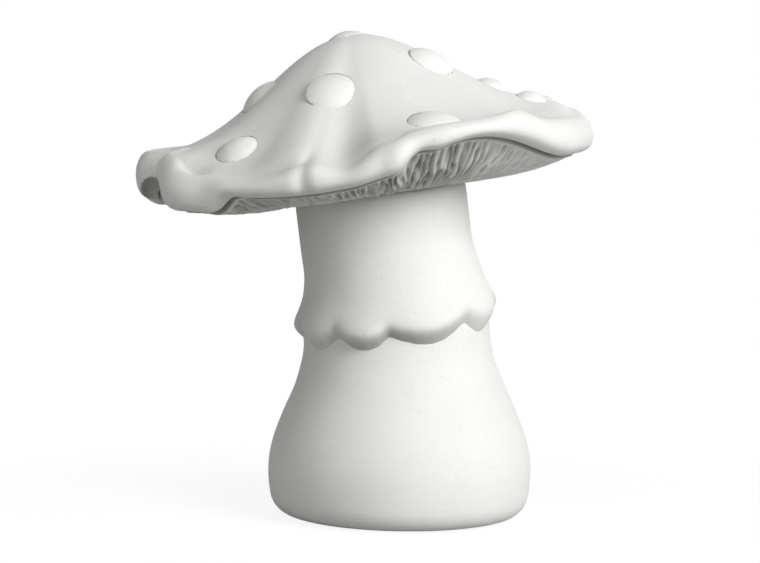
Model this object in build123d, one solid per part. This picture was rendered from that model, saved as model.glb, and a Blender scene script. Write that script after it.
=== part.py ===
from build123d import *
import os
from math import cos, pi, radians, sin, tan

# A toadstool ornament in unglazed white earthenware, luted together from slip-cast pieces.
# Sizes are in millimetres and degrees. Z is up, and the origin is the middle of the foot.
# A bearing is measured round the stalk from the front (-Y), and grows towards the right (+X).

# Clay body
wall = 4.5                    # thickness the slip builds up in the mould
luting_gap = 0.4              # room for slip between two seated pieces

# Foot and bulb of the stalk
foot_radius = 46.6
foot_round = 9.0
foot_ring_width = 8.0
foot_recess = 1.2
floor_thickness = 6.0
vent_radius = 8.0
bulb_radius = 48.8
bulb_height = 17.0

# Neck of the bulb, where the stalk bends to the left
bulb_lean = 1.0
bend = 6.8
joint_height = 60.0
bend_span = 15.0              # the bend runs this far below and above the joint
neck_radius = 34.6
neck_straight = 7.0           # height above the joint where the neck stops tapering
neck_sway = 0.6               # the neck bulges to the left by this much below the joint

# Collar: upper stalk with its scalloped skirt, measured up the leaning axis from the joint
socket_height = 15.0
skirt_radius = 38.4
skirt_notch_radius = 36.7
skirt_notch_height = 10.6
skirt_drop = 3.9              # how far a scallop hangs below its notches
skirt_lip = 1.1
flare_height = 40.0
flare_sway = 0.9              # the flare is fuller on the right by this much
stalk_radius = 31.7
stalk_height = 61.0
spigot_radius = 28.2
spigot_wall = 3.5
spigot_length = 11.0
scallop_notches = [-76, -36, -4, 46, 84, 126, 166, 207, 245]

# Gill disc, the underside of the cap
gill_hub_radius = 33.2
gill_hub_thickness = 6.5
gill_bulge = 3.2              # how late the gills turn up towards the rim
gill_sag = 2.2                # the gills hang lower on the left by this much
gill_edge = 1.3
gill_count = 76
gill_depth = 1.7

# Cap
cap_radius = 81.0
crown_height = 119.0          # above the joint, up the leaning axis
crown_flat = 4.0
crown_shift = -4.0            # the crown stands left of the stalk's axis
bell_power = 2.8              # how quickly the bell falls away from the crown
fall_late = 2.6               # how late the flank starts to follow the rim's ups and downs
fold_late = 1.5               # and how late it starts to follow the tight fold
rim_low = 67.0
rim_top = 83.5
rim_width = 9.5
rim_gap = 0.5
skin_end = 12.0               # the bell ends and the roll begins this far inside the rim
roll_crest = 5.0

# Waves of the rim: bearing, half width, lift of the lower edge, lift of the top, extra reach
rim_waves = [
    (28, 36, 11.2, 0.0, 0.5),     # wide arch at the front right
    (30, 30, 0.0, 1.0, 0.0),      # its roll, with a crest and a dip beside it
    (41, 11, 0.0, 2.0, 0.0),
    (56, 18, 0.0, -2.5, 0.0),
    (76, 24, 0.0, -3.5, 0.0),
    (6, 12, 0.0, -1.5, 0.0),
    (-46, 28, 0.0, -8.5, 0.0),    # the front left slopes down without a roll
    (-24, 26, 0.0, -8.0, 0.0),
    (-20, 26, -1.5, 0.0, 0.0),
    (1, 14, 0.0, 0.0, 1.5),       # nose beside the arch
    (-17, 11, 0.0, 0.0, -1.4),    # pinch in the front lip
    (-80, 9, 8.0, 0.5, 0.0),      # tight fold at the left
    (-60, 24, -3.0, 0.5, 4.0),    # lobe beside the fold
    (-100, 50, -3.0, 2.0, 8.0),   # long lip at the left
    (100, 40, -0.5, -1.0, -1.0),
    (150, 34, 9.0, 2.0, 1.0),     # arch at the back
    (-148, 36, 8.0, 1.5, 2.0),    # arch at the back left
]

# Waves of the flank between crown and rim: bearing, half width, lift
flank_waves = [
    (1, 15, 1.0),
    (-12, 14, -2.2),
    (-25, 15, 1.2),
    (-46, 18, -1.5),
    (88, 34, 3.2),
    (128, 20, -1.5),
    (168, 16, 1.2),
    (-120, 18, -1.3),
    (-168, 16, -1.2),
]
valley_waves = [(32, 42, -2.3)]   # the skin dips behind the roll of the arch
steep_waves = [(-34, 40, -0.5)]   # change of the bell's power
fold_waves = [(-80, 9, -11.0)]    # the tight fold is pulled in this far, at the rim only

# Hollow in the end of the long lip, beside the fold
hollow_place = (-83.6, -13.0, 71.2)
hollow_width = 6.6
hollow_height = 10.0
hollow_depth = 18.0

# Spots: name, bearing, distance from the axis as a share of the rim's radius, diameter
spot_rise = 2.7
spot_seat = 1.7               # depth of the flat seat below the cap's skin
spot_edge = 1.6
spot_gap = 0.15
spots = [
    ("crown", -112, 0.05, 15.0),
    ("front", -19, 0.48, 18.8),
    ("left", -88, 0.44, 17.0),
    ("front_left", -50, 0.75, 16.0),
    ("right_upper", 59, 0.36, 17.0),
    ("front_right", 20, 0.77, 18.5),
    ("right", 93, 0.58, 13.0),
    ("right_low", 86, 0.74, 12.0),
    ("right_edge", 107, 0.82, 14.0),
    ("back_right", 142, 0.56, 18.0),
    ("back", -172, 0.40, 18.0),
    ("back_low", -158, 0.76, 16.0),
    ("back_left", -122, 0.66, 17.0),
]

ring_spans = 12
span_points = 8
gill_points = 2               # points on each gill: its crest and its furrow
lobe_points = 6

lean = bulb_lean + bend
leaning = Plane(
    origin=(-joint_height * sin(radians(bulb_lean)), 0, joint_height * cos(radians(bulb_lean))),
    x_dir=(cos(radians(lean)), 0, sin(radians(lean))),
    z_dir=(-sin(radians(lean)), 0, cos(radians(lean))),
)


def ease(t):
    """Smooth step from 0 to 1, flat at both ends."""
    t = min(max(t, 0.0), 1.0)
    return (1 - cos(pi * t)) / 2


def swell(bearing, centre, half_width):
    """One smooth bump round the rim, 1 at its centre and 0 past its half width."""
    away = abs((bearing - centre + 180) % 360 - 180)
    return ease(1 - away / half_width)


def polar(reach, bearing, height):
    """Point at a distance from the axis, on a bearing, at a height."""
    turn = radians(bearing)
    return Vector(reach * sin(turn), -reach * cos(turn), height)


def ring(reach, height, shift=0.0):
    """Closed smooth wire round the axis; reach and height are functions of the bearing."""

    def point(b):
        return polar(reach(b), b, height(b)) + Vector(shift, 0, 0)

    edges = []
    for start in even_bearings(ring_spans):
        bearings = [start + 360 / ring_spans * i / span_points for i in range(span_points + 1)]
        ways = [point(b + 0.1) - point(b - 0.1) for b in (bearings[0], bearings[-1])]
        edges.append(Edge.make_spline([point(b) for b in bearings], tangents=ways))
    return Wire(edges)


def lobed_ring(spans, reach, height):
    """Closed wire round the axis, one smooth edge for each lobe."""
    edges = []
    for start, end in spans:
        bearings = [start + (end - start) * i / lobe_points for i in range(lobe_points + 1)]
        edges.append(Edge.make_spline([polar(reach(b), b, height(b)) for b in bearings]))
    return Wire(edges)


def facet_ring(bearings, reach, height):
    """Closed wire of straight edges round the axis."""
    return Wire.make_polygon([polar(reach(b), b, height(b)) for b in bearings], close=True)


def even_bearings(count):
    """Bearings spaced evenly round the axis."""
    return [360 * i / count for i in range(count)]


def total(waves, bearing):
    """Sum of a list of waves on a bearing."""
    return sum(lift * swell(bearing, centre, half_width) for centre, half_width, lift in waves)


def skin_reach(share, bearing):
    """Radius of the cap's skin at a share of the rim's radius."""
    reach = cap_radius + sum(w[4] * swell(bearing, w[0], w[1]) for w in rim_waves)
    return share * (reach + total(fold_waves, bearing) * share**fold_late)


def cap_reach(bearing):
    """Outermost radius of the rim."""
    return skin_reach(1.0, bearing)


def cap_low(bearing):
    """Height of the rim's lower edge."""
    return rim_low + sum(w[2] * swell(bearing, w[0], w[1]) for w in rim_waves)


def cap_top(bearing):
    """Height of the roll's top."""
    return rim_top + sum(w[3] * swell(bearing, w[0], w[1]) for w in rim_waves)


def bell(share, bearing):
    """Height of the cap's skin at a share of the rim's radius."""
    foot = min(cap_top(bearing), rim_top) + total(valley_waves, bearing)
    power = bell_power + total(steep_waves, bearing)
    fall = (crown_height - rim_top) * cos(pi / 2 * share) ** power
    late = (foot - rim_top) * share**fall_late
    return rim_top + fall + late + total(flank_waves, bearing) * sin(pi * share**3)


def make_stalk_base():
    """Hollow bulb that stands on a foot ring and bends into the leaning neck."""
    top = joint_height + (socket_height - luting_gap) * cos(radians(bend))
    taper_end = joint_height + neck_straight

    def radius_at(rise):
        if rise <= bulb_height:
            return foot_radius + (bulb_radius - foot_radius) * sin(pi / 2 * rise / bulb_height)
        share = (taper_end - rise) / (taper_end - bulb_height)
        return neck_radius + (bulb_radius - neck_radius) * ease(share)

    def section(rise, inset):
        past = min(max(rise - joint_height + bend_span, 0), 2 * bend_span)
        beyond = max(rise - joint_height - bend_span, 0)
        tilt = radians(bend) * past / (2 * bend_span)
        drift = tan(radians(bend)) * (past**2 / (4 * bend_span) + beyond)
        drift += neck_sway * ease(1 - abs(rise - joint_height + 3) / 12)
        across = (cos(tilt), 0, sin(tilt))
        along = (-sin(tilt), 0, cos(tilt))
        plane = Plane(origin=(-drift, 0, rise), x_dir=across, z_dir=along)
        return Wire.make_circle(radius_at(rise) - inset, plane)

    def stack(bottom, end, inset, spans):
        rises = [bottom, (bottom + bulb_height) / 2]
        rises += [bulb_height + (taper_end - bulb_height) * i / spans for i in range(spans + 1)]
        rises += [(taper_end + end) / 2, end]
        return Rot(0, -bulb_lean, 0) * Solid.make_loft([section(rise, inset) for rise in rises])

    outer = split(stack(-floor_thickness, top, 0, 8), Plane.XY, keep=Keep.TOP)
    outer = fillet(outer.edges().sort_by(Axis.Z)[0], foot_round)
    body = outer - stack(floor_thickness, top + wall, wall, 4)
    recess_radius = foot_radius - foot_round - foot_ring_width
    body -= Cylinder(recess_radius, 2 * foot_recess)
    body -= Cylinder(vent_radius, 4 * floor_thickness)
    return body


def make_stalk_collar():
    """Upper stalk: its skirt hangs over the neck, and its spigot carries the gill disc."""
    socket_radius = neck_radius + luting_gap
    starts = sorted(n % 360 for n in scallop_notches)
    spans = list(zip(starts, [*starts[1:], starts[0] + 360]))

    def scallop(bearing):
        for start, end in spans:
            for turned in (bearing, bearing + 360):
                if start <= turned <= end:
                    return sin(pi * (turned - start) / (end - start))
        return 0.0

    def edge(bearing):
        return skirt_notch_height - skirt_drop * scallop(bearing)

    def flare(share, bearing):
        widest = skirt_notch_radius + (skirt_radius - skirt_notch_radius) * scallop(bearing)
        sway = flare_sway * sin(radians(bearing)) * sin(pi * share)
        return stalk_radius + (widest - stalk_radius) * (1 - share) ** 2 + sway

    def flare_z(share, bearing):
        start = edge(bearing) + 5 + 2.5 * scallop(bearing)
        return start + (flare_height - start) * share

    def lip(bearing):
        return socket_radius + skirt_lip * (0.9 + 0.7 * scallop(bearing))

    def bulge(bearing):
        return lip(bearing) + 0.72 * (flare(0, bearing) - lip(bearing))

    def bulge_z(bearing):
        start = edge(bearing) + skirt_lip
        return start + 0.35 * (flare_z(0, bearing) - start)

    rings = [
        lobed_ring(spans, lambda b: socket_radius, lambda b: socket_height),
        lobed_ring(spans, lambda b: socket_radius, lambda b: edge(b) + skirt_lip / 4),
        lobed_ring(spans, lip, lambda b: edge(b) + skirt_lip),
        lobed_ring(spans, bulge, bulge_z),
    ]
    for share in (0.0, 0.2, 0.45, 0.7, 1.0):
        rings.append(lobed_ring(spans, lambda b: flare(share, b), lambda b: flare_z(share, b)))
    rings.append(lobed_ring(spans, lambda b: stalk_radius, lambda b: stalk_height))
    body = Solid.make_loft(rings, ruled=True)
    spigot_top = stalk_height + spigot_length
    body += Pos(0, 0, stalk_height - wall) * Cylinder(
        spigot_radius, spigot_length + wall, align=(Align.CENTER, Align.CENTER, Align.MIN)
    )
    bore = spigot_radius - spigot_wall
    body -= Cylinder(bore, spigot_top + wall, align=(Align.CENTER, Align.CENTER, Align.MIN))
    return body


def make_gill_disc():
    """Shallow cone of radial gills that closes the cap from below."""
    bearings = even_bearings(gill_count * gill_points)
    hub_top = stalk_height + gill_hub_thickness

    def edge_reach(b):
        return cap_reach(b) - rim_width - rim_gap

    def crest(share, b):
        sag = gill_sag * swell(b, -90, 120) * sin(pi * share)
        return stalk_height + (cap_low(b) - gill_edge / 3 - stalk_height) * share**gill_bulge - sag

    def furrow(b):
        return (1 - cos(radians(gill_count * b))) / 2

    def gill_ring(share, depth):
        return facet_ring(
            bearings,
            lambda b: gill_hub_radius + (edge_reach(b) - gill_hub_radius) * share,
            lambda b: crest(share, b) + depth * gill_depth * furrow(b),
        )

    rings = [
        facet_ring(bearings, lambda b: gill_hub_radius, lambda b: hub_top),
        facet_ring(bearings, edge_reach, lambda b: cap_low(b) + gill_edge),
        gill_ring(1.0, 0.0),
        gill_ring(0.9, 1.0),
        gill_ring(0.72, 1.0),
        gill_ring(0.4, 1.0),
        gill_ring(0.0, 0.0),
    ]
    body = Solid.make_loft(rings, ruled=True)
    return body - Pos(0, 0, stalk_height) * Cylinder(spigot_radius + luting_gap, 4 * gill_hub_thickness)


def make_cap_skin():
    """Cap before its spots are seated: a bell with a rolled rim, hollow inside."""
    ledge = gill_edge + luting_gap

    def skin(share, inset):
        shift = crown_shift * (1 - share) ** 2
        return ring(lambda b: skin_reach(share, b), lambda b: bell(share, b) - inset, shift)

    def crown(inset):
        return ring(lambda b: crown_flat, lambda b: crown_height - inset, crown_shift)

    def rim(inward, height):
        return ring(lambda b: cap_reach(b) - inward, height)

    def roll(share):
        return lambda b: skin_foot(b) + (cap_top(b) - skin_foot(b)) * share

    def skin_foot(b):
        return bell(1 - skin_end / cap_reach(b), b)

    def lip(share):
        return lambda b: cap_low(b) + (cap_top(b) - cap_low(b)) * share

    rings = [crown(0)]
    rings += [skin(share, 0) for share in (0.11, 0.22, 0.33, 0.44, 0.55, 0.65, 0.73, 0.8)]
    rings += [
        rim(skin_end, skin_foot),
        rim(8.0, roll(0.65)),
        rim(roll_crest, cap_top),
        rim(1.7, lip(0.82)),
        rim(0.0, lip(0.5)),
        rim(1.3, lip(0.11)),
        rim(3.4, cap_low),
        rim(6.4, lambda b: cap_low(b) - 0.2),
        rim(rim_width - 0.6, lambda b: cap_low(b) + 0.4),
        rim(rim_width, lambda b: cap_low(b) + ledge),
        rim(rim_width + 2.5, lambda b: cap_low(b) + ledge),
    ]
    rings += [skin(share, wall) for share in (0.72, 0.45, 0.2)]
    rings.append(crown(wall))
    mouth = Plane(origin=hollow_place, x_dir=(1, 0, 0), z_dir=(0, 1, 0))
    hollow = extrude(mouth * Ellipse(hollow_width / 2, hollow_height / 2), hollow_depth)
    return Solid.make_loft(rings, ruled=True) - hollow


def spot_frame(cap, bearing, share):
    """Plane on the cap's skin, facing outwards, where a spot is seated."""
    foot = polar(skin_reach(share, bearing), bearing, 0) + Vector(crown_shift * (1 - share) ** 2, 0, 0)
    hits = cap.find_intersection_points(Axis(foot, (0, 0, 1)))
    point, normal = max(hits, key=lambda hit: hit[0].Z)
    if normal.Z < 0:
        normal = -normal
    return Plane(origin=point, z_dir=normal)


def make_spot(diameter):
    """Domed pad with a flat underside, standing on the plane of its seat."""
    radius = diameter / 2
    top = spot_seat + spot_rise
    profile = Polyline((0, top), (0, 0), (radius, 0), (radius, spot_edge))
    apex_side = ThreePointArc((radius, spot_edge), *dome_points(radius, top))
    face = make_face([*profile.edges(), apex_side.edge()])
    return revolve(Plane.XZ * face, Axis.Z)


def dome_points(radius, top):
    """A middle point and the apex of the spot's round top."""
    rise = top - spot_edge
    ball = (radius**2 + rise**2) / (2 * rise)
    half = radius / 2
    return (half, top - ball + (ball**2 - half**2) ** 0.5), (0, top)


def main():
    """Builds every piece and writes one STEP file for each."""
    os.makedirs("parts", exist_ok=True)
    cap = make_cap_skin()
    pockets = []
    pieces = {}
    for name, bearing, share, diameter in spots:
        seat = spot_frame(cap, bearing, share).location * Pos(0, 0, -spot_seat)
        pieces["spot_" + name] = seat * make_spot(diameter)
        tool = Cylinder(
            diameter / 2 + spot_gap, 4 * spot_rise, align=(Align.CENTER, Align.CENTER, Align.MIN)
        )
        pockets.append(seat * tool)
    pieces["cap_shell"] = cap.cut(*pockets)
    pieces["gill_disc"] = make_gill_disc()
    pieces["stalk_collar"] = make_stalk_collar()
    placed = {name: leaning.location * piece for name, piece in pieces.items()}
    placed["stalk_base"] = make_stalk_base()
    for name, piece in placed.items():
        export_step(piece, f"parts/{name}.step")


main()
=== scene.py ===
import math
from functools import lru_cache

import bmesh
import bpy
from mathutils import Matrix, Quaternion, Vector, noise


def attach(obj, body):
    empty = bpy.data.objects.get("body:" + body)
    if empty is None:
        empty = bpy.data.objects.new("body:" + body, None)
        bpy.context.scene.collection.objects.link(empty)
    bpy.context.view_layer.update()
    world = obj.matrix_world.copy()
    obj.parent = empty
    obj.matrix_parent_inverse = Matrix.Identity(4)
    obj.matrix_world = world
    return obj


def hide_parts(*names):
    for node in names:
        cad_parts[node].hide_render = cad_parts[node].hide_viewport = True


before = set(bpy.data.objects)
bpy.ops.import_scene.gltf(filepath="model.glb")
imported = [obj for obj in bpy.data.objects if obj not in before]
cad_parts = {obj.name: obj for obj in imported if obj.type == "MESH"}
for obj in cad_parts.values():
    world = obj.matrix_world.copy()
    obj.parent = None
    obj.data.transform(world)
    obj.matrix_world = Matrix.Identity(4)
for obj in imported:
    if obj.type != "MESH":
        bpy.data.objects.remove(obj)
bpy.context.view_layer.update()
scene = bpy.context.scene
scene.view_settings.view_transform = "Standard"
mm = 0.001
weld = 0.02  # mm, joins the corners that neighbouring CAD faces share
stalkAxis = {"tilt": 7.8, "foot": (-1.047, 0.0, 59.991)}  # the upper half leans to the left from here
lean = (Matrix.Translation(Vector(stalkAxis["foot"]) * mm)
        @ Matrix.Rotation(math.radians(-stalkAxis["tilt"]), 4, "Y"))
upright = lean.inverted()


def ease(t):
    t = min(max(t, 0.0), 1.0)
    return (1 - math.cos(math.pi * t)) / 2


def swell(bearing, centre, halfWidth):
    away = abs((bearing - centre + 180) % 360 - 180)
    return ease(1 - away / halfWidth)


def total(waves, b, column=2):
    return sum(w[column] * swell(b, w[0], w[1]) for w in waves)


def polar(reach, bearing, height, shift=0.0):
    turn = math.radians(bearing)
    return Vector((reach * math.sin(turn) + shift, -reach * math.cos(turn), height)) * mm


def deselectAll():
    if bpy.context.object and bpy.context.object.mode == "EDIT":
        bpy.ops.object.mode_set(mode="OBJECT")
    bpy.ops.object.select_all(action="DESELECT")


def makeActive(piece):
    deselectAll()
    piece.select_set(True)
    bpy.context.view_layer.objects.active = piece


def applyModifier(piece, kind, **settings):
    makeActive(piece)
    mod = piece.modifiers.new(kind.lower(), kind)
    for key, value in settings.items():
        setattr(mod, key, value)
    bpy.ops.object.modifier_apply(modifier=mod.name)


def startRing(name, count, radius, height, shift=0.0, crowd=0.0):
    deselectAll()
    bpy.ops.mesh.primitive_circle_add(vertices=count, radius=radius * mm, fill_type="NOTHING")
    piece = bpy.context.object
    piece.name = name
    bpy.ops.object.mode_set(mode="EDIT")
    bpy.ops.mesh.select_mode(type="EDGE")
    bpy.ops.mesh.select_all(action="SELECT")
    form = bmesh.from_edit_mesh(piece.data)
    bearing = form.verts.layers.float.new("bearing")  # goes with every ring pulled from this one
    form.verts.layers.float.new("shade")
    for v in form.verts:
        turn = math.atan2(v.co.x, -v.co.y)
        v[bearing] = math.degrees(turn - crowd * math.sin(turn)) % 360
        v.co = polar(radius, v[bearing], height, shift)
    bmesh.update_edit_mesh(piece.data)
    return piece


def pullRing(piece, reach, height, shift=0.0, shade=None):
    bpy.ops.mesh.extrude_region_move()
    form = bmesh.from_edit_mesh(piece.data)
    bearing = form.verts.layers.float["bearing"]
    dark = form.verts.layers.float["shade"]
    for v in [v for v in form.verts if v.select]:
        v.co = polar(reach(v[bearing]), v[bearing], height(v[bearing]), shift)
        v[dark] = shade(v[bearing]) if shade else 0.0
    bmesh.update_edit_mesh(piece.data, loop_triangles=False, destructive=False)


def closeRings():
    bpy.ops.mesh.edge_face_add()  # the last ring
    bpy.ops.mesh.select_all(action="DESELECT")
    bpy.ops.mesh.select_non_manifold(extend=False)
    bpy.ops.mesh.edge_face_add()  # the first one
    bpy.ops.mesh.select_all(action="SELECT")
    bpy.ops.mesh.normals_make_consistent(inside=False)
    bpy.ops.object.mode_set(mode="OBJECT")


def leanOver(piece):
    makeActive(piece)
    piece.rotation_euler = (0, math.radians(-stalkAxis["tilt"]), 0)
    piece.location = Vector(stalkAxis["foot"]) * mm
    bpy.ops.object.transform_apply(location=True, rotation=True, scale=True)


def cadCopy(source, name):
    piece = bpy.data.objects.new(name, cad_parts[source].data.copy())
    scene.collection.objects.link(piece)
    makeActive(piece)
    bpy.ops.object.mode_set(mode="EDIT")
    bpy.ops.mesh.select_all(action="SELECT")
    bpy.ops.mesh.remove_doubles(threshold=weld * mm)
    bpy.ops.object.mode_set(mode="OBJECT")
    return piece


def softCopy(source, name, grain, passes):
    # a cast piece: the CAD solid with its hard edges washed off
    piece = cadCopy(source, name)
    applyModifier(piece, "REMESH", mode="VOXEL", voxel_size=grain * mm)
    applyModifier(piece, "SMOOTH", factor=0.5, iterations=passes)
    bpy.ops.object.shade_smooth()
    return piece


def node(tree, kind, **values):
    made = tree.nodes.new(kind)
    for key, value in values.items():
        if key in made.inputs:
            made.inputs[key].default_value = value
        else:
            setattr(made, key, value)
    return made


def remap(tree, value, fromRange=(0.0, 1.0), toRange=(0.0, 1.0), **settings):
    made = node(tree, "ShaderNodeMapRange", **settings)
    for key, number in zip(("From Min", "From Max", "To Min", "To Max"), (*fromRange, *toRange)):
        made.inputs[key].default_value = number
    tree.links.new(value, made.inputs["Value"])
    return made.outputs["Result"]


def blend(tree, how, factor, first, second):
    made = node(tree, "ShaderNodeMix", data_type="RGBA", blend_type=how)
    for i, value in ((0, factor), (6, first), (7, second)):  # the sockets for colours
        if isinstance(value, bpy.types.NodeSocket):
            tree.links.new(value, made.inputs[i])
        else:
            made.inputs[i].default_value = value
    return made.outputs[2]


def bump(tree, height, strength, depth, below=None, invert=False):
    made = node(tree, "ShaderNodeBump", Strength=strength, Distance=depth, invert=invert)
    tree.links.new(height, made.inputs["Height"])
    if below:
        tree.links.new(below, made.inputs["Normal"])
    return made.outputs["Normal"]


# unglazed white clay, dry and faintly grained
finish = {
    "specular": 0.28, "roughness": (0.72, 0.92), "stain": (0.57, 0.56, 0.54), "dust": (0.975, 1.015),
    "cloudScale": 38.0, "cloudRange": (0.32, 0.66), "holeScale": 1300.0, "holeRange": (0.12, 0.24),
    "sparseScale": 210.0, "sparseRange": (0.62, 0.68), "fineScale": 1150.0, "fineRange": (0.35, 0.7),
    "toothDepth": 0.00022, "pitStrength": 0.6, "pitDepth": 0.0003, "wipeScale": (9.0, 9.0, 260.0), "wipeDepth": 0.0006,
}


def bisque(name, colour, shade, sponge=0.0, grain=0.25, paintedShade=None):
    mat = bpy.data.materials.new(name)
    mat.use_nodes = True
    tree = mat.node_tree
    link = tree.links.new
    shader = tree.nodes["Principled BSDF"]
    shader.inputs["Specular IOR Level"].default_value = finish["specular"]
    place = node(tree, "ShaderNodeTexCoord").outputs["Object"]

    def texture(kind, output, **values):
        made = node(tree, kind, **values)
        link(place, made.inputs["Vector"])
        return made.outputs[output]

    cloud = texture("ShaderNodeTexNoise", "Fac", Scale=finish["cloudScale"], Detail=3.0, Roughness=0.55)
    tone = node(tree, "ShaderNodeValToRGB")
    for i, tint in enumerate((shade, colour)):
        tone.color_ramp.elements[i].position = finish["cloudRange"][i]
        tone.color_ramp.elements[i].color = (*tint, 1)
    link(cloud, tone.inputs["Fac"])

    # pinholes, each a fraction of a millimetre
    holes = texture("ShaderNodeTexVoronoi", "Distance", Scale=finish["holeScale"], Randomness=1.0)
    sparse = texture("ShaderNodeTexNoise", "Fac", Scale=finish["sparseScale"], Detail=1.0)
    speck = node(tree, "ShaderNodeMath", operation="MULTIPLY")
    link(remap(tree, holes, finish["holeRange"], (1.0, 0.0)), speck.inputs[0])
    link(remap(tree, sparse, finish["sparseRange"]), speck.inputs[1])
    speck = speck.outputs[0]

    fine = texture("ShaderNodeTexNoise", "Fac", Scale=finish["fineScale"], Detail=2.0, Roughness=0.6)
    dust = remap(tree, fine, finish["fineRange"], finish["dust"])
    skin = blend(tree, "MIX", speck, tone.outputs["Color"], (*finish["stain"], 1))
    skin = blend(tree, "MULTIPLY", 1.0, skin, dust)
    if paintedShade:
        # painted shade: the clay's colour is mixed towards a darker one where the shade attribute says little light
        # gets in
        deep = node(tree, "ShaderNodeAttribute", attribute_name="shade").outputs["Fac"]
        skin = blend(tree, "MIX", deep, skin, (*paintedShade, 1))
    link(skin, shader.inputs["Base Color"])
    link(remap(tree, cloud, toRange=finish["roughness"]), shader.inputs["Roughness"])

    tooth = bump(tree, fine, grain, finish["toothDepth"])
    face = bump(tree, speck, finish["pitStrength"], finish["pitDepth"], tooth, invert=True)
    if sponge:
        # faint level rings where the seam was wiped with a sponge
        stretch = node(tree, "ShaderNodeMapping", Scale=finish["wipeScale"])
        link(place, stretch.inputs["Vector"])
        wipe = node(tree, "ShaderNodeTexNoise", Scale=1.0, Detail=3.0, Roughness=0.6)
        link(stretch.outputs["Vector"], wipe.inputs["Vector"])
        face = bump(tree, wipe.outputs["Fac"], sponge, finish["wipeDepth"], face)
    link(face, shader.inputs["Normal"])
    return mat


white = (0.80, 0.80, 0.785)
# the last colour of cap, gills and stalk is painted shade, for the hollow, the gill furrows and channel, and the
# skirt's underside
clay = {
    "cap": bisque("bisqueCap", white, (0.755, 0.755, 0.735), paintedShade=(0.40, 0.40, 0.39)),
    "spots": bisque("bisqueSpots", (0.84, 0.84, 0.825), (0.80, 0.80, 0.78)),
    "gills": bisque("bisqueGills", white, (0.72, 0.72, 0.70), grain=0.4, paintedShade=(0.22, 0.22, 0.21)),
    "stalk": bisque("bisqueStalk", white, (0.77, 0.77, 0.75), sponge=0.12, paintedShade=(0.41, 0.41, 0.40)),
}
print("bisque mixed:", ", ".join(clay))


def dress(piece, slot, *nodes):
    piece.data.materials.clear()
    piece.data.materials.append(clay[slot])
    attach(piece, "root")
    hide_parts(*nodes)


# the cap: bell, rolled rim and the channel behind it
cap = {
    "radius": 81.0, "crown": 119.0, "crownFlat": 4.0, "crownShift": -4.0, "power": 2.8, "wall": 4.5,
    "rimLow": 67.0, "rimTop": 83.5, "rimWidth": 9.5, "skinEnd": 12.0, "around": 160, "crowd": 0.25,
    "fallLate": 2.6, "foldLate": 1.5, "lipLate": 7.0,
    "bellStart": 0.08, "bellStep": 0.055, "bellRings": 14, "innerRings": (0.74, 0.45, 0.2),
    "rollUp": [(12.0, 0.0), (9.2, 0.45), (6.8, 0.88), (5.0, 1.0)],  # inward, share of the height
    "rollDown": [(3.3, 0.94), (1.7, 0.82), (0.6, 0.68), (0.0, 0.5), (0.2, 0.25), (1.3, 0.11), (3.2, 0.02)],
    "lipUnder": [(5.4, -0.3), (6.8, 0.1), (7.4, 1.0)],  # inward, above the lower edge
    "channel": 3.4, "channelIn": 7.6, "channelRise": 0.4, "channelRoof": 3.2,
    "leanBack": 0.52, "leanFrom": 0.35, "leanPower": 1.5,
    "rimWaves": [  # bearing, half width, lift of the lower edge, lift of the roll, extra reach
        (28, 36, 11.2, 0, 0.5), (30, 30, 0, 1, 0), (41, 11, 0, 2, 0), (56, 18, 0, -2.5, 0), (76, 24, 0, -3.5, 0),
        (6, 12, 0, -1.5, 0), (-46, 28, 0, -8.5, 0), (-24, 26, 0, -8, 0), (-20, 26, -1.5, 0, 0),
        (-80, 9, 8, 0.5, 0), (-60, 24, -3, 0.5, 4),
        (-100, 50, -3, 2, 9), (100, 40, -0.5, -1, -1), (150, 34, 9, 2, 1), (-148, 36, 8, 1.5, 2),
        (5.5, 5.5, -0.8, -1.4, 0), (11.5, 6, 2.4, 0, 0), (-18.5, 3, 0, -0.6, 0), (-48, 6, -3, 0, 0),
        (-53, 6, -1, 0, 0), (-41, 5, 0.8, 0, 0), (-66, 8, 1.6, 0, 0), (-6, 13, 0, -8, 0),
        (-73, 12, 8, 0, 0), (-92, 13, 3.5, 0, 0)],
    "lipWaves": [  # extra reach at the lip only: nose, its valley, pinch, knob and the fold beside it
        (2, 12, 1.2), (6, 5, 1.8), (12, 6, -1), (-9, 8, -1), (-18.5, 2.8, -1.7), (-57, 11, 1.8), (-72, 12, -3.2)],
    "roundWaves": [(-58, 20, 6.5), (3, 9, 1.5)],  # the roll leans back here
    "dents": [(-57, 8, 8.5, 8.0, -3.0), (37, 4, 5.0, 7.0, -0.7)],  # bearing, half width, inward, half length, lift
    "foldWaves": [(-80, 9, -11)],  # pulled in at the rim only
    "flankWaves": [  # bearing, half width, lift
        (1, 15, 1), (-12, 14, -2.2), (-25, 15, 1.2), (-46, 18, -1.5), (88, 34, 3.2), (128, 20, -1.5),
        (168, 16, 1.2), (-120, 18, -1.3), (-168, 16, -1.2)],
    "valleyWaves": [(32, 42, -2.3)],  # behind the arch's roll
    "steepWaves": [(-34, 40, -0.5)],  # change of the bell's power
}


@lru_cache(None)
def capAt(b):
    top = cap["rimTop"] + total(cap["rimWaves"], b, 3)
    return {
        "low": cap["rimLow"] + total(cap["rimWaves"], b), "top": top,
        "wide": cap["radius"] + total(cap["rimWaves"], b, 4), "fold": total(cap["foldWaves"], b),
        "lip": total(cap["lipWaves"], b), "round": total(cap["roundWaves"], b),
        "foot": min(top, cap["rimTop"]) + total(cap["valleyWaves"], b),
        "flank": total(cap["flankWaves"], b), "power": cap["power"] + total(cap["steepWaves"], b)}


def skinReach(share, b):
    here = capAt(b)
    return share * (here["wide"] + here["fold"] * share ** cap["foldLate"] + here["lip"] * share ** cap["lipLate"])


def capReach(b):
    return skinReach(1.0, b)


def capLow(b):
    return capAt(b)["low"]


def capTop(b):
    return capAt(b)["top"]


def dent(inward, b):
    return sum(w[4] * swell(b, w[0], w[1]) * ease(1 - abs(inward - w[2]) / w[3]) for w in cap["dents"])


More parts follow.
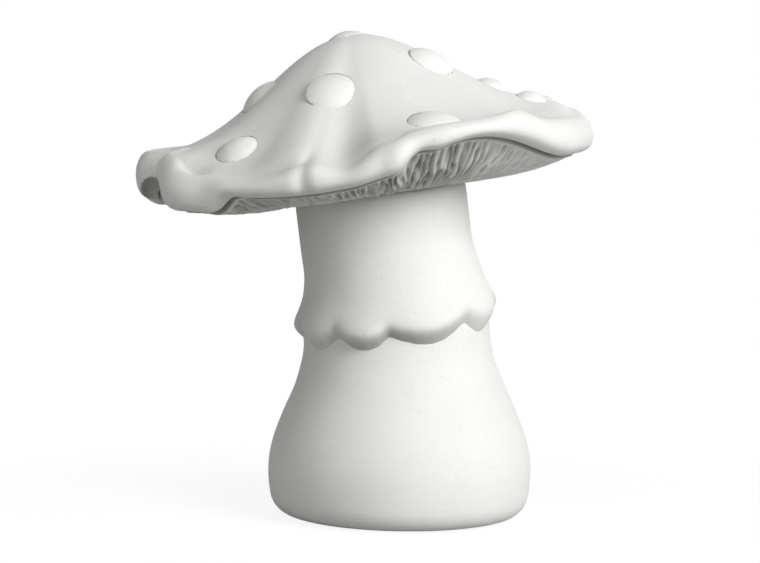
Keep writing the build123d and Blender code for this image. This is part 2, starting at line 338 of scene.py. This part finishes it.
def bellHeight(share, b):
    here = capAt(b)
    fall = (cap["crown"] - cap["rimTop"]) * math.cos(math.pi / 2 * share) ** here["power"]
    late = (here["foot"] - cap["rimTop"]) * share ** cap["fallLate"]
    return cap["rimTop"] + fall + late + here["flank"] * math.sin(math.pi * share**3)


def skinFoot(b):
    return bellHeight(1 - cap["skinEnd"] / capReach(b), b)


def pullSkin(piece, share, inset=0.0):
    shift = cap["crownShift"] * (1 - share) ** 2
    pullRing(piece, lambda b: skinReach(share, b),
             lambda b: bellHeight(share, b) - inset + dent(capReach(b) - skinReach(share, b), b), shift)


def pullRim(piece, inward, height, back=0.0):
    pullRing(piece, lambda b: capReach(b) - inward - capAt(b)["round"] * back, height)


def channelTop(b):
    return min(capLow(b) + cap["channel"], capTop(b) - cap["channelRoof"])


capPiece = startRing("capSkin", cap["around"], cap["crownFlat"], cap["crown"], cap["crownShift"], cap["crowd"])
for step in range(cap["bellRings"]):
    pullSkin(capPiece, cap["bellStart"] + cap["bellStep"] * step)
rollStart, rollTop = cap["rollUp"][0][0], cap["rollUp"][-1][0]
for inward, share in cap["rollUp"]:
    back = cap["leanBack"] * (rollStart - inward) / (rollStart - rollTop)
    pullRim(capPiece, inward, lambda b: skinFoot(b) + (capTop(b) - skinFoot(b)) * share + dent(inward, b), back)
for inward, share in cap["rollDown"]:
    back = max(share - cap["leanFrom"], 0) ** cap["leanPower"]
    pullRim(capPiece, inward, lambda b: capLow(b) + (capTop(b) - capLow(b)) * share, back)
for inward, lift in cap["lipUnder"]:
    pullRim(capPiece, inward, lambda b: capLow(b) + lift)
pullRim(capPiece, cap["channelIn"], channelTop)
pullRim(capPiece, cap["rimWidth"], lambda b: channelTop(b) + cap["channelRise"])
for share in cap["innerRings"]:
    pullSkin(capPiece, share, cap["wall"])
closeRings()
applyModifier(capPiece, "SUBSURF", levels=2, render_levels=2)
leanOver(capPiece)
print("cap rolled:", len(capPiece.data.polygons), "faces")

# raised spots: CAD shapes, some set over by up to 4 mm, the crown's pressed in further
spots = {"seatGap": 0.3, "nudges": {  # mm
    "spot_crown": (0.8, 0, -1.5), "spot_front": (1.2, 1.0, 0.9), "spot_front_left": (0, 1.5, 1.2),
    "spot_front_right": (0.9, 2.8, 0.9), "spot_right_upper": (0.9, 1.5, 1.0), "spot_right_edge": (0.6, -4.0, 0.4)}}
pads = []
for name in [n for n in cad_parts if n.startswith("spot_")]:
    pad = cadCopy(name, name + "Pad")
    pad.location = Vector(spots["nudges"].get(name, (0, 0, 0))) * mm
    bpy.ops.object.transform_apply(location=True, rotation=False, scale=False)
    pads.append(pad)
    dress(pad, "spots", name)
print("spots laid:", len(pads))

# what is pressed into the cap: a seat for each spot, and the hollow end at the left
hollow = {"place": (-83.6, -13.0, 68.7), "width": 13.2, "height": 16.0, "depth": 13.0, "segments": 48, "rings": 32,
          "mouth": -14.0, "dark": 8.0, "skin": 0.06}
sharpAngle = 42


def dropSlivers(piece):
    # flat pairs of faces that a cut can leave along its edge
    form = bmesh.new()
    form.from_mesh(piece.data)
    bmesh.ops.triangulate(form, faces=form.faces[:])
    twins = {}
    for face in form.faces:
        twins.setdefault(frozenset(face.verts), []).append(face)
    spare = {face for group in twins.values() if len(group) > 1 for face in group}
    spare |= {face for face in form.faces if any(edge.is_boundary for edge in face.edges)}
    bmesh.ops.delete(form, geom=list(spare), context="FACES")
    form.to_mesh(piece.data)
    form.free()


def darkenHollow(piece):
    # little light reaches the back of the hollow
    dark = piece.data.attributes.get("shade") or piece.data.attributes.new("shade", "FLOAT", "POINT")
    for v in piece.data.vertices:
        p = upright @ v.co / mm
        x, y, z = p - Vector(hollow["place"])
        shell = (2 * x / hollow["width"]) ** 2 + (y / hollow["depth"]) ** 2 + (2 * z / hollow["height"]) ** 2
        inside = abs(shell - 1) < hollow["skin"]
        dark.data[v.index].value = ease((p.y - hollow["mouth"]) / hollow["dark"]) if inside else 0.0


deselectAll()
bpy.ops.mesh.primitive_uv_sphere_add(segments=hollow["segments"], ring_count=hollow["rings"], radius=mm)
cutters = [bpy.context.object]
cutters[0].scale = (hollow["width"] / 2, hollow["depth"], hollow["height"] / 2)
cutters[0].location = Vector(hollow["place"]) * mm
bpy.ops.object.transform_apply(location=True, rotation=False, scale=True)
leanOver(cutters[0])
for pad in pads:
    corners = [Vector(c) for c in pad.bound_box]
    middle = sum(corners, Vector()) / 8
    seat = bpy.data.objects.new(pad.name + "Seat", pad.data.copy())
    scene.collection.objects.link(seat)
    makeActive(seat)
    grow = 1 + 2 * spots["seatGap"] * mm / max((corners[6] - corners[0]).to_tuple())
    seat.scale = (grow, grow, grow)
    seat.location = middle * (1 - grow)
    bpy.ops.object.transform_apply(location=True, rotation=True, scale=True)
    cutters.append(seat)
makeActive(cutters[0])
for cutter in cutters:
    cutter.select_set(True)
bpy.ops.object.join()
press = bpy.context.object
applyModifier(capPiece, "BOOLEAN", operation="DIFFERENCE", solver="MANIFOLD", object=press)
bpy.data.objects.remove(press)
dropSlivers(capPiece)
darkenHollow(capPiece)
makeActive(capPiece)
bpy.ops.object.shade_smooth()
bpy.ops.object.mode_set(mode="EDIT")
bpy.ops.mesh.select_mode(type="EDGE")
bpy.ops.mesh.select_all(action="DESELECT")
bpy.ops.mesh.edges_select_sharp(sharpness=math.radians(sharpAngle))
bpy.ops.mesh.mark_sharp()
bpy.ops.object.mode_set(mode="OBJECT")
dress(capPiece, "cap", "cap_shell")
print("cap pressed:", len(capPiece.data.polygons), "faces")

# gills: thin carved ridges under the cap, wandering a little
gills = {
    "hub": 33.2, "hubTop": 67.5, "root": 61.0, "bulge": 3.2, "below": 1.35, "gap": 0.4, "around": 1672, "rows": 26,
    "count": 152, "depth": 2.4, "crest": 1.6, "mean": 0.75, "least": 0.1, "most": 1.2,
    "sag": [(-90, 120, 2.2)], "shallow": [(61, 44, 0.72)],  # bearing, half width, amount
    "drift": [(9, (0, 0), 2.6, 1.1), (27, (7, 3), 6, 0.6)],  # noise round, its offset, outwards, strength
    "chip": (40, (2, 9), 11, 0.7), "hubFade": 0.1, "edgeFade": 0.05, "edgeStart": 0.1,
    "wall": [(1.2, 1.2, 0.15), (1.6, 0.8, 0.7), (1.7, -0.8, 0.9), (1.6, -3.0, 0.9)],  # wider, lower, painted shade on the channel wall behind the lip
}


def gillEdge(b):
    return capReach(b) - cap["rimWidth"] - gills["gap"]


def gillCrest(share, b):
    rise = (capLow(b) - gills["below"] - gills["root"]) * share ** gills["bulge"]
    return gills["root"] + rise - total(gills["sag"], b) * math.sin(math.pi * share)


def wander(b, share, around, offset, outwards, strength):
    turn = math.radians(b)
    spot = Vector((math.sin(turn), math.cos(turn), 0))
    return strength * noise.noise(spot * around + Vector((*offset, share * outwards)))


@lru_cache(None)
def gillCut(share, b):
    phase = gills["count"] * b / 360 + sum(wander(b, share, *way) for way in gills["drift"])
    edge = abs((phase % 1) - 0.5) * 2  # 1 at a crest
    deep = gills["mean"] + wander(b, share, *gills["chip"])
    fade = ease(share / gills["hubFade"]) * ease((1 - share) / gills["edgeFade"] + gills["edgeStart"])
    fade *= 1 - total(gills["shallow"], b)
    return min(max(deep, gills["least"]), gills["most"]) * fade * (1 - edge ** gills["crest"])


gillPiece = startRing("gillFan", gills["around"], gills["hub"], gills["hubTop"])
for row in range(gills["rows"] + 1):
    share = row / gills["rows"]
    # painted shade: each furrow's colour darkens with its depth
    pullRing(gillPiece, lambda b: gills["hub"] + (gillEdge(b) - gills["hub"]) * share,
             lambda b: gillCrest(share, b) + gills["depth"] * gillCut(share, b),
             shade=lambda b: min(gillCut(share, b), 1.0))
for wider, lower, dark in gills["wall"]:
    # painted shade: the channel wall behind the lip is darkened in colour
    pullRing(gillPiece, lambda b: gillEdge(b) + wider, lambda b: capLow(b) - lower, shade=lambda b: dark)
bpy.ops.mesh.select_all(action="DESELECT")
bpy.ops.mesh.select_non_manifold(extend=False)
bpy.ops.mesh.bridge_edge_loops()  # flat back, out of sight inside the cap
bpy.ops.mesh.select_all(action="SELECT")
bpy.ops.mesh.normals_make_consistent(inside=False)
leanOver(gillPiece)
bpy.ops.object.shade_smooth()
dress(gillPiece, "gills", "gill_disc")
print("gills carved:", len(gillPiece.data.polygons), "faces")

# the skirted collar over the plain bulb
skirt = {
    "grain": 0.75, "passes": 10, "inside": 28.0, "step": 3, "fall": 14.0,
    "sink": 0.3, "front": 3.7, "lobes": [(-55, 24, 1.2), (58, 20, 1.4)],  # bearing, half width, lower by
    "under": 6.5, "side": 3.5, "drop": 2.2, "tuck": 7.6, "tuckPower": 1.3,
    "puff": 1.9, "puffRight": 0.4, "puffAt": 6.0, "puffHalf": 9.0,
    # painted shade under the rolled edge: how fast it darkens, the least share, and more towards the front
    "dark": 2.2, "darkLeast": 0.25, "darkFront": [(0, 65, 0.75)],
    "grooveLow": 5.0, "grooveIn": 6.0, "grooveHigh": 34.0, "grooveOut": 8.0, "groovePasses": 80, "softPasses": 8,
}
bulb = {"grain": 0.9, "passes": 14}


def puffSkirt(piece):
    # softens the grooves above the skirt's edge, rolls the edge in below so that its underside shows, and paints shade
    # on that underside
    edges = [math.inf] * (360 // skirt["step"])
    outside = []
    for v in piece.data.vertices:
        p = upright @ v.co / mm
        reach = math.hypot(p.x, p.y)
        if reach > skirt["inside"]:
            bearing = math.degrees(math.atan2(p.x, -p.y)) % 360
            i = int(bearing / skirt["step"]) % len(edges)
            edges[i] = min(edges[i], p.z)
            outside.append((v.index, p, reach, bearing))
    grooves = piece.vertex_groups.new(name="grooves")
    shades = [0.0] * len(piece.data.vertices)
    for index, p, reach, bearing in outside:
        at = bearing / skirt["step"] - 0.5
        i, part = math.floor(at), at - math.floor(at)
        above = p.z - edges[i % len(edges)] * (1 - part) - edges[(i + 1) % len(edges)] * part
        roll = skirt["under"] + skirt["side"] * (p.x / reach) ** 2
        under = min(max(1 - above / roll, 0), 1)
        puff = skirt["puff"] + skirt["puffRight"] * p.x / reach
        puff *= ease(1 - abs(above - skirt["puffAt"]) / skirt["puffHalf"])
        wide = 1 + (puff - skirt["tuck"] * under ** skirt["tuckPower"]) / reach
        sink = skirt["sink"] + skirt["front"] * max(-p.y / reach, 0) + total(skirt["lobes"], bearing)
        height = p.z - sink * ease(1 - above / skirt["fall"]) - skirt["drop"] * under**2
        # painted shade on the underside of the rolled edge, stronger at the front
        shades[index] = ease(under * skirt["dark"]) * (skirt["darkLeast"] + total(skirt["darkFront"], bearing))
        piece.data.vertices[index].co = lean @ (Vector((p.x * wide, p.y * wide, height)) * mm)
        soft = ease((above - skirt["grooveLow"]) / skirt["grooveIn"])
        soft *= ease((skirt["grooveHigh"] - above) / skirt["grooveOut"])
        grooves.add([index], soft, "REPLACE")
    applyModifier(piece, "SMOOTH", factor=0.5, iterations=skirt["groovePasses"], vertex_group="grooves")
    applyModifier(piece, "SMOOTH", factor=0.5, iterations=skirt["softPasses"])
    piece.data.attributes.new("shade", "FLOAT", "POINT").data.foreach_set("value", shades)


collarPiece = softCopy("stalk_collar", "skirtedStalk", skirt["grain"], skirt["passes"])
puffSkirt(collarPiece)
dress(collarPiece, "stalk", "stalk_collar")
basePiece = softCopy("stalk_base", "bulb", bulb["grain"], bulb["passes"])
dress(basePiece, "stalk", "stalk_base")
print("stalk cast:", len(collarPiece.data.polygons), "+", len(basePiece.data.polygons), "faces")

# floor and surroundings: one brightness to look at, a dimmer one to light the piece
studio = {
    "half": 6.0, "drop": 0.0002, "lit": (0.40, 0.40, 0.39), "seen": (0.16, 0.16, 0.16), "glow": 0.88,
    "fade": (0.06, 0.22), "around": 0.13, "tint": (0.93, 0.97, 0.95),
}


def pickSeen(tree, outNode, bounced, seen):
    path = node(tree, "ShaderNodeLightPath")
    seesIt = path.outputs["Is Camera Ray"]
    for ray in ("Is Glossy Ray", "Is Transmission Ray"):
        either = node(tree, "ShaderNodeMath", operation="MAXIMUM")
        tree.links.new(seesIt, either.inputs[0])
        tree.links.new(path.outputs[ray], either.inputs[1])
        seesIt = either.outputs[0]
    pick = node(tree, "ShaderNodeMixShader")
    for i, socket in enumerate((seesIt, bounced.outputs[0], seen.outputs[0])):
        tree.links.new(socket, pick.inputs[i])
    tree.links.new(pick.outputs[0], outNode.inputs["Surface"])


deselectAll()
bpy.ops.mesh.primitive_plane_add(size=studio["half"] * 2, location=(0, 0, -studio["drop"]))
ground = bpy.context.object
ground.name = "studioFloor"
paper = bpy.data.materials.new("studioPaper")
paper.use_nodes = True
tree = paper.node_tree
tree.nodes.clear()
shadow = node(tree, "ShaderNodeAddShader")
tree.links.new(node(tree, "ShaderNodeBsdfDiffuse", Color=(*studio["seen"], 1)).outputs[0], shadow.inputs[0])
tree.links.new(node(tree, "ShaderNodeEmission", Strength=studio["glow"]).outputs[0], shadow.inputs[1])
away = node(tree, "ShaderNodeVectorMath", operation="LENGTH")  # the paper turns plain white away from the foot
tree.links.new(node(tree, "ShaderNodeTexCoord").outputs["Object"], away.inputs[0])
near = node(tree, "ShaderNodeMixShader")
fade = remap(tree, away.outputs["Value"], studio["fade"], interpolation_type="SMOOTHSTEP")
plain = node(tree, "ShaderNodeEmission", Strength=1.0)
for i, socket in enumerate((fade, shadow.outputs[0], plain.outputs[0])):
    tree.links.new(socket, near.inputs[i])
pickSeen(tree, node(tree, "ShaderNodeOutputMaterial"),
         node(tree, "ShaderNodeBsdfDiffuse", Color=(*studio["lit"], 1)), near)
ground.data.materials.append(paper)

world = bpy.data.worlds.new("studio")
scene.world = world
world.use_nodes = True
tree = world.node_tree
tree.nodes.clear()
pickSeen(tree, node(tree, "ShaderNodeOutputWorld"),
         node(tree, "ShaderNodeBackground", Color=(*studio["tint"], 1), Strength=studio["around"]),
         node(tree, "ShaderNodeBackground", Color=(1, 1, 1, 1), Strength=1.0))
print("studio set")

lamps = {  # place, aim, size, watts
    "keySoftbox": ((1.05, -1.05, 0.85), (0, 0, 0.09), 0.8, 26.5),
    "topSheet": ((-0.5, -0.5, 1.2), (0, 0, 0.1), 1.1, 2.2),
    "backFill": ((0.2, 1.5, 0.7), (0, 0, 0.09), 1.2, 6.0),
    "sideGlow": ((1.3, -0.35, 0.12), (0, 0, 0.09), 0.4, 2.0),
    "frontFill": ((-0.95, -1.3, 0.35), (0, 0, 0.09), 1.2, 5.2),
}
for name, (spot, aim, size, watts) in lamps.items():
    lamp = bpy.data.lights.new(name, "AREA")
    lamp.size = size
    lamp.energy = watts
    holder = bpy.data.objects.new(name, lamp)
    scene.collection.objects.link(holder)
    holder.location = spot
    holder.rotation_euler = (Vector(aim) - Vector(spot)).to_track_quat("-Z", "Y").to_euler()

lens = {"spot": (-0.002915, -1.0, 0.166975), "aim": (-0.00871, 0.0, 0.08646), "roll": 1.0, "focal": 128.4,
        "sensor": 36.0, "near": 0.01}
eye = bpy.data.cameras.new("photoCamera")
eye.lens = lens["focal"]
eye.sensor_width = lens["sensor"]
eye.clip_start = lens["near"]
holder = bpy.data.objects.new("photoCamera", eye)
scene.collection.objects.link(holder)
holder.location = lens["spot"]
look = (Vector(lens["aim"]) - Vector(lens["spot"])).to_track_quat("-Z", "Y")
holder.rotation_euler = (look @ Quaternion((0, 0, 1), math.radians(lens["roll"]))).to_euler()
scene.camera = holder
print("lamps hung:", len(lamps))
